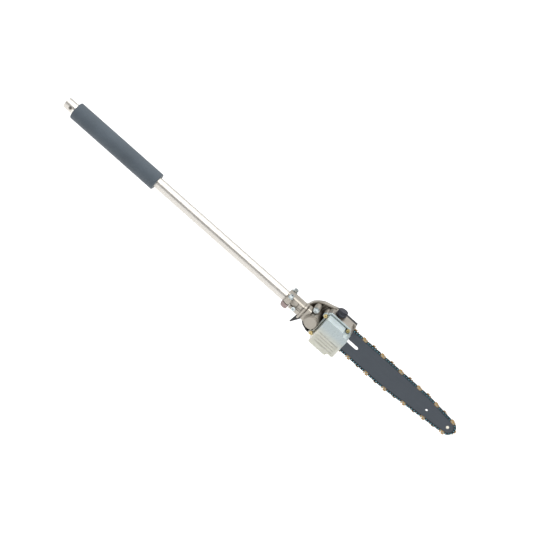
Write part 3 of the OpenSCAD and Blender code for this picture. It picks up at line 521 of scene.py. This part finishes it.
class POLESAW_OT_head(PoleSawOperator, bpy.types.Operator):
    """Finishes the gear head, its clamp and its caps"""

    bl_idname = "pole_saw.head"
    bl_label = "Gear head"

    def execute(self, context):
        f = context.scene.pole_saw_finishes
        paint_nodes(cast_metal("cast aluminium", f.casting), "gearcase")
        # Dark line around the flat pad on the near side of the neck: painted shade along the pad's edge, in a
        # darkened copy of the casting colour
        shade_line_width, shade_line_depth = 0.0009, 0.0003
        corners = [(PAD_LOW.x, PAD_LOW.z), (PAD_HIGH.x, PAD_LOW.z), (PAD_HIGH.x, PAD_HIGH.z),
                   (PAD_LOW.x, PAD_HIGH.z)]
        bm = bmesh.new()
        band(bm, corners, PAD_LOW.y, shade_line_width, shade_line_depth)
        pad_edge_shade = moulded("painted pad edge shade", shade(f.casting, 0.15), 0.6)
        finished(bm, "neck_pad_edge_shade", HEAD, pad_edge_shade)
        paint_nodes(metal("turned aluminium", shade(f.casting, 0.86), 0.36, (1, 1, 1), 500.0), "bearing_cap")
        paint_nodes(cast_metal("clamp casting", f.clamp, 0.5), "clamp_cap")
        rubber = moulded("seal rubber", (0.012, 0.012, 0.013), 0.6)
        paint_nodes(rubber, "shaft_seal", "bowl_gasket", "cap_seal", "oil_hose")
        return {"FINISHED"}


class POLESAW_OT_gears(PoleSawOperator, bpy.types.Operator):
    """Finishes the bevel gears, shafts, bearings and sprockets"""

    bl_idname = "pole_saw.gears"
    bl_label = "Gears and bearings"

    def execute(self, context):
        paint_nodes(metal("gear steel", (0.22, 0.22, 0.23), 0.32), "bevel_pinion", "bevel_gear",
                    "drive_sprocket", "nose_sprocket")
        paint_nodes(metal("shaft steel", (0.40, 0.41, 0.43), 0.25, (1, 0.05, 1)), "output_shaft",
                    "shaft_sleeve", "sprocket_washer", "pinion_spacer", "tension_block")
        paint_nodes(metal("bearing steel", (0.48, 0.49, 0.52), 0.16), "output_bearings", "pinion_bearings")
        paint_nodes(metal("spring steel", (0.07, 0.07, 0.08), 0.4), "pinion_clip", "sprocket_clip")
        return {"FINISHED"}


class POLESAW_OT_fasteners(PoleSawOperator, bpy.types.Operator):
    """Finishes the bolts, screws, washers, stud and nut"""

    bl_idname = "pole_saw.fasteners"
    bl_label = "Fasteners"

    def execute(self, context):
        f = context.scene.pole_saw_finishes
        paint_nodes(metal("zinc plate", f.zinc, 0.27, (1, 1, 1), 600.0, 0.0004, 0.00003, 0.2), "clamp_bolts",
                    "clamp_washers", "locating_screw", "case_bolt", "bar_stud", "bar_nut", "tension_screw",
                    "inner_plate")
        paint_nodes(metal("yellow zinc plate", f.yellow_zinc, 0.27, tone=0.25), "bowl_screws")
        paint_nodes(metal("sintered filter", (0.42, 0.30, 0.16), 0.6, bump=0.0002), "oil_filter")
        return {"FINISHED"}


class POLESAW_OT_bowl(PoleSawOperator, bpy.types.Operator):
    """Makes the clear oil bowl"""

    bl_idname = "pole_saw.bowl"
    bl_label = "Oil bowl"

    def execute(self, context):
        b = context.scene.pole_saw_bowl
        low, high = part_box("bowl_gasket")
        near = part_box("oil_bowl")[0].y
        seat = low.y
        left, right = low.x + 0.0066, high.x
        bottom, top = low.z, high.z
        bm = bmesh.new()
        # Body: cut away around the screw in the top front corner, and stepped at the lower front
        body_left, body_right, body_top = left + 0.0046, right - 0.0006, top - 0.0045
        notch = arc(right - 0.0116, top - 0.005, 0.0064, -16.0, -172.0, 8)
        outline = [
            (body_left, bottom + 0.0006), (right - 0.0146, bottom + 0.0006),
            (right - 0.0146, bottom + 0.0076), (body_right, bottom + 0.0076), (body_right, top - 0.0132),
            *notch, (right - 0.0182, body_top), (body_left, body_top),
        ]
        slab(bm, outline, seat, near)
        kept = {(round(x, 6), round(z, 6)) for x, z in notch}
        across = [e for e in bm.edges if abs(e.verts[0].co.y - e.verts[1].co.y) > 0.01
                  and (round(e.verts[0].co.x, 6), round(e.verts[0].co.z, 6)) not in kept]
        soften(bm, [e for e in across if e.verts[0].co.z > 0], b.corner)
        soften(bm, [e for e in across if e.is_valid and e.verts[0].co.z < 0], b.foot)
        soften(bm, at_y(bm, bm.verts, near), b.edge)
        bmesh.ops.remove_doubles(bm, verts=bm.verts, dist=0.00005)
        hollow(bm, face_at_y(bm, seat), b.wall, seat - near - b.wall)
        # Four faint level ribs on the near face
        for i in range(4):
            z = bottom + 0.013 + 0.0065 * i
            turn = Matrix.Translation(((body_left + body_right) / 2, near + 0.0002, z)) @ Matrix.Diagonal(
                (body_right - body_left - 0.012, 0.0004, 0.0009, 1.0))
            bmesh.ops.create_cube(bm, size=1.0, matrix=turn)
        # Flange: a band around the body, with an ear for each side screw
        flange_width, softness = 0.0033, 0.0006
        step_x, step_z = right - 0.014, bottom + 0.007
        outline = [
            (left, bottom + 0.006), (left + 0.006, bottom), (step_x, bottom), (step_x, step_z),
            (right, step_z), (right, top - 0.013), (right - 0.010, top), (left + 0.005, top),
            (left, top - 0.005),
        ]
        flange = band(bm, outline, seat, flange_width, -b.flange)
        soften(bm, at_y(bm, flange, seat - b.flange), softness, 2)
        across_tool = Matrix.Rotation(math.pi / 2, 4, "X")
        for x, z in ((left - 0.0006, top - 0.0132), (left + 0.0003, bottom + 0.0065)):
            turn = Matrix.Translation((x, seat - b.flange / 2, z)) @ across_tool
            peg(bm, turn, b.ear, b.flange, softness, 40, 3)
        plastic = bowl_plastic("bowl plastic", context.scene.pole_saw_finishes.bowl)
        finished(bm, "oil_bowl_shell", HEAD, plastic, ["oil_bowl"])
        return {"FINISHED"}


class POLESAW_OT_cap(PoleSawOperator, bpy.types.Operator):
    """Makes the oil cap"""

    bl_idname = "pole_saw.cap"
    bl_label = "Oil cap"

    def execute(self, context):
        c = context.scene.pole_saw_cap
        # Heights above the foot of the filler neck
        base = 0.0034
        top = base + c.height
        step = base + c.collar
        inside = top - 0.0025
        # Radius of the hand grip between its ribs, and depth of the dish in its top
        grip = c.radius - 0.0013
        dish = 0.0006
        rib = 0.0008
        profile = [
            (inside, 0.0), (inside, c.bore), (base, c.bore), (base, c.radius - 0.0005),
            (base + 0.0005, c.radius), (step - 0.0006, c.radius), (step, c.radius - 0.0006),
            (step + 0.0002, grip), (top - 0.001, grip), (top - 0.0003, grip - 0.0003), (top, grip - 0.001),
            (top, grip - 0.0022), (top - dish, grip - 0.0028), (top - dish, 0.0),
        ]
        bm = lathe(profile, (0, 0, 0), (0, 0, 1), 96, closed=False)
        for i in range(c.ribs):
            turn = Matrix.Rotation(math.tau * (i + 0.5) / c.ribs, 4, "Z")
            spot = turn @ Matrix.Translation((grip - 0.0002, 0, (step + top - rib / 2) / 2))
            peg(bm, spot, rib, top - step - rib, rib / 2, 12, 2)
        place = Matrix.Translation(CAP_SEAT) @ Matrix.Rotation(-c.tilt, 4, "Y")
        bmesh.ops.transform(bm, matrix=place, verts=bm.verts)
        plastic = moulded("cap plastic", context.scene.pole_saw_finishes.cap, 0.34, bump=0.00003, coat=0.25)
        finished(bm, "oil_cap_body", "cap", plastic, ["oil_cap"])
        return {"FINISHED"}


class POLESAW_OT_cover(PoleSawOperator, bpy.types.Operator):
    """Makes the sprocket cover"""

    bl_idname = "pole_saw.cover"
    bl_label = "Sprocket cover"

    def execute(self, context):
        c = context.scene.pole_saw_cover
        low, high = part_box("sprocket_cover")
        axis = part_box("bearing_cap")
        x = (axis[0].x + axis[1].x) / 2
        near, far, front = low.y, high.y, high.x
        bm = bmesh.new()
        outline = arc(x, 0.0, c.rear, 92.0, 198.0, 18)
        outline += [(x + a / 1000, z / 1000) for a, z in ((-22, -22), (-15, -32.5), (-6, -40), (6.5, -45))]
        # The outline runs past the open front, where the wall is cut off
        past = front + 2 * c.wall
        outline += [(past, -0.045), (past, high.z), (x + 0.030, high.z), (x + 0.0265, high.z - 0.0014),
                    (x + 0.0175, high.z - 0.0056)]
        body = slab(bm, outline, near, far)
        soften(bm, at_y(bm, body, far), c.edge, 5)
        hollow(bm, face_at_y(bm, near), c.wall, far - near - c.wall)
        cut = bmesh.ops.bisect_plane(bm, geom=bm.verts[:] + bm.edges[:] + bm.faces[:],
                                     plane_co=(front, 0, 0), plane_no=(1, 0, 0), clear_outer=True)["geom_cut"]
        bmesh.ops.contextual_create(bm, geom=[e for e in cut if isinstance(e, bmesh.types.BMEdge)])
        hook_outline = [(x + a / 1000, z / 1000) for a, z in (
            (-20.7, -21.2), (-28.5, -22), (-31.8, -54), (-29.5, -54), (-17.5, -33), (-13.7, -31.7))]
        hook = slab(bm, hook_outline, near, near + c.hook)
        soften(bm, at_y(bm, hook, near) + at_y(bm, hook, near + c.hook), 0.0007, 3)
        plastic = moulded("cover plastic", context.scene.pole_saw_finishes.cover, 0.36, coat=0.2)
        finished(bm, "sprocket_cover_shell", HEAD, plastic, ["sprocket_cover"])
        return {"FINISHED"}


class POLESAW_OT_bar(PoleSawOperator, bpy.types.Operator):
    """Finishes the guide bar and its nose"""

    bl_idname = "pole_saw.bar"
    bl_label = "Guide bar"

    def execute(self, context):
        f = context.scene.pole_saw_finishes
        paint_nodes(metal("bar steel", f.bar, 0.42, (0.04, 1, 1), 500.0, 0.0002, 0.00002, 0.1), "bar_plates")
        paint_nodes(metal("bar core steel", shade(f.bar, 0.8), 0.5), "bar_core")
        paint_nodes(metal("bright rivet", (0.72, 0.69, 0.58), 0.3, metallic=0.7), "nose_rivet")
        return {"FINISHED"}


class POLESAW_OT_chain(PoleSawOperator, bpy.types.Operator):
    """Finishes the chain"""

    bl_idname = "pole_saw.chain"
    bl_label = "Chain"

    def execute(self, context):
        f = context.scene.pole_saw_finishes
        paint_nodes(metal("oiled steel", f.chain, 0.3, edge=0.0002), "chain_drive_links", "chain_straps")
        paint_nodes(metal("cutter plate", f.cutter, 0.28, edge=0.0002, tone=0.3), "chain_cutters")
        paint_nodes(metal("rivet steel", (0.16, 0.34, 0.40), 0.25, edge=0.0002), "chain_rivets")
        return {"FINISHED"}


def area_light(name, place, aim, size, power):
    """Soft rectangular lamp at a place, turned toward aim."""
    data = bpy.data.lights.new(name, "AREA")
    data.shape = "RECTANGLE"
    data.size, data.size_y = size
    data.energy = power
    light = bpy.data.objects.new(name, data)
    light.location = place
    light.rotation_mode = "QUATERNION"
    light.rotation_quaternion = (Vector(aim) - Vector(place)).to_track_quat("-Z", "Y")
    bpy.context.scene.collection.objects.link(light)


class POLESAW_OT_stage(PoleSawOperator, bpy.types.Operator):
    """Makes the floor, the soft lights and the camera"""

    bl_idname = "pole_saw.stage"
    bl_label = "Stage"

    def execute(self, context):
        s = context.scene.pole_saw_stage
        e, t = s.elevation, s.roll
        right = Vector((1, 0, 0))
        up = Vector((0, math.sin(e), math.cos(e)))
        back = Vector((0, -math.cos(e), math.sin(e)))
        aim = Vector((s.aim_x, 0, s.aim_z))
        data = bpy.data.cameras.new("camera")
        data.lens = s.lens
        data.sensor_width = 36.0
        data.clip_start, data.clip_end = 0.05, 200.0
        camera = bpy.data.objects.new("camera", data)
        context.scene.collection.objects.link(camera)
        x_axis = right * math.cos(t) + up * math.sin(t)
        y_axis = up * math.cos(t) - right * math.sin(t)
        turn = Matrix((x_axis, y_axis, back)).transposed()
        camera.matrix_world = Matrix.Translation(aim + back * s.distance) @ turn.to_4x4()
        context.scene.camera = camera

        bm = bmesh.new()
        bmesh.ops.create_grid(bm, x_segments=1, y_segments=1, size=60.0)
        bmesh.ops.translate(bm, verts=bm.verts, vec=(s.aim_x, 0, -s.drop))
        mesh = bpy.data.meshes.new("floor")
        bm.to_mesh(mesh)
        bm.free()
        floor = bpy.data.objects.new("floor", mesh)
        context.scene.collection.objects.link(floor)
        pale = Shader("pale floor")
        tone = pale.blend(pale.noise(3.0), (0.93, 0.93, 0.93), (0.95, 0.95, 0.95))
        pale.set(Base_Color=tone, Roughness=0.9)
        paint(floor, pale.material)

        # Sky: bright overhead, dimmer toward the horizon
        world = bpy.data.worlds.new("soft sky")
        world.use_nodes = True
        tree = world.node_tree
        sky = tree.nodes["Background"]
        coords = tree.nodes.new("ShaderNodeTexCoord")
        split = tree.nodes.new("ShaderNodeSeparateXYZ")
        ramp = tree.nodes.new("ShaderNodeValToRGB")
        tree.links.new(coords.outputs["Generated"], split.inputs["Vector"])
        tree.links.new(split.outputs["Z"], ramp.inputs["Fac"])
        # The backdrop itself stays white; the darker horizon is only for reflections and light
        rays = tree.nodes.new("ShaderNodeLightPath")
        backdrop = tree.nodes.new("ShaderNodeMixRGB")
        backdrop.inputs["Color2"].default_value = (1, 1, 1, 1)
        tree.links.new(rays.outputs["Is Camera Ray"], backdrop.inputs["Fac"])
        tree.links.new(ramp.outputs["Color"], backdrop.inputs["Color1"])
        tree.links.new(backdrop.outputs["Color"], sky.inputs["Color"])
        ramp.color_ramp.elements[0].position = 0.05
        ramp.color_ramp.elements[0].color = (0.10, 0.10, 0.105, 1)
        ramp.color_ramp.elements[1].position = 0.75
        ramp.color_ramp.elements[1].color = (1, 1, 1, 1)
        sky.inputs["Strength"].default_value = s.brightness
        context.scene.world = world
        context.scene.view_settings.view_transform = "Standard"
        area_light("key", (0.2, -0.9, 2.2), aim, (2.2, 0.8), 9.0)
        area_light("rim", (0.6, 1.5, 1.4), aim, (2.2, 0.5), 4.0)
        data = bpy.data.lights.new("overhead", "SUN")
        data.energy = s.sun
        data.angle = 1.2
        sun = bpy.data.objects.new("overhead", data)
        sun.rotation_euler = (math.radians(14), 0, 0)
        context.scene.collection.objects.link(sun)
        return {"FINISHED"}


OPERATORS = (
    POLESAW_OT_stage, POLESAW_OT_tube, POLESAW_OT_grip, POLESAW_OT_head, POLESAW_OT_gears,
    POLESAW_OT_fasteners, POLESAW_OT_bowl, POLESAW_OT_cap, POLESAW_OT_cover, POLESAW_OT_bar,
    POLESAW_OT_chain,
)


class POLESAW_PT_panel(bpy.types.Panel):
    """Lists the pole saw's pieces"""

    bl_idname = "POLESAW_PT_panel"
    bl_label = "Pole saw attachment"
    bl_space_type = "VIEW_3D"
    bl_region_type = "UI"
    bl_category = "Pole Saw"

    def draw(self, context):
        for group in GROUPS:
            box = self.layout.box()
            for name in GROUPS[group].__annotations__:
                box.prop(getattr(context.scene, group), name)
        for operator in OPERATORS:
            self.layout.operator(operator.bl_idname)


def register():
    for name, group in GROUPS.items():
        bpy.utils.register_class(group)
        setattr(bpy.types.Scene, name, PointerProperty(type=group))
    for cls in (*OPERATORS, POLESAW_PT_panel):
        bpy.utils.register_class(cls)


def unregister():
    for cls in (POLESAW_PT_panel, *reversed(OPERATORS)):
        bpy.utils.unregister_class(cls)
    for name, group in GROUPS.items():
        delattr(bpy.types.Scene, name)
        bpy.utils.unregister_class(group)


def main():
    register()
    for operator in OPERATORS:
        group, name = operator.bl_idname.split(".")
        getattr(getattr(bpy.ops, group), name)()


if __name__ == "__main__":
    main()
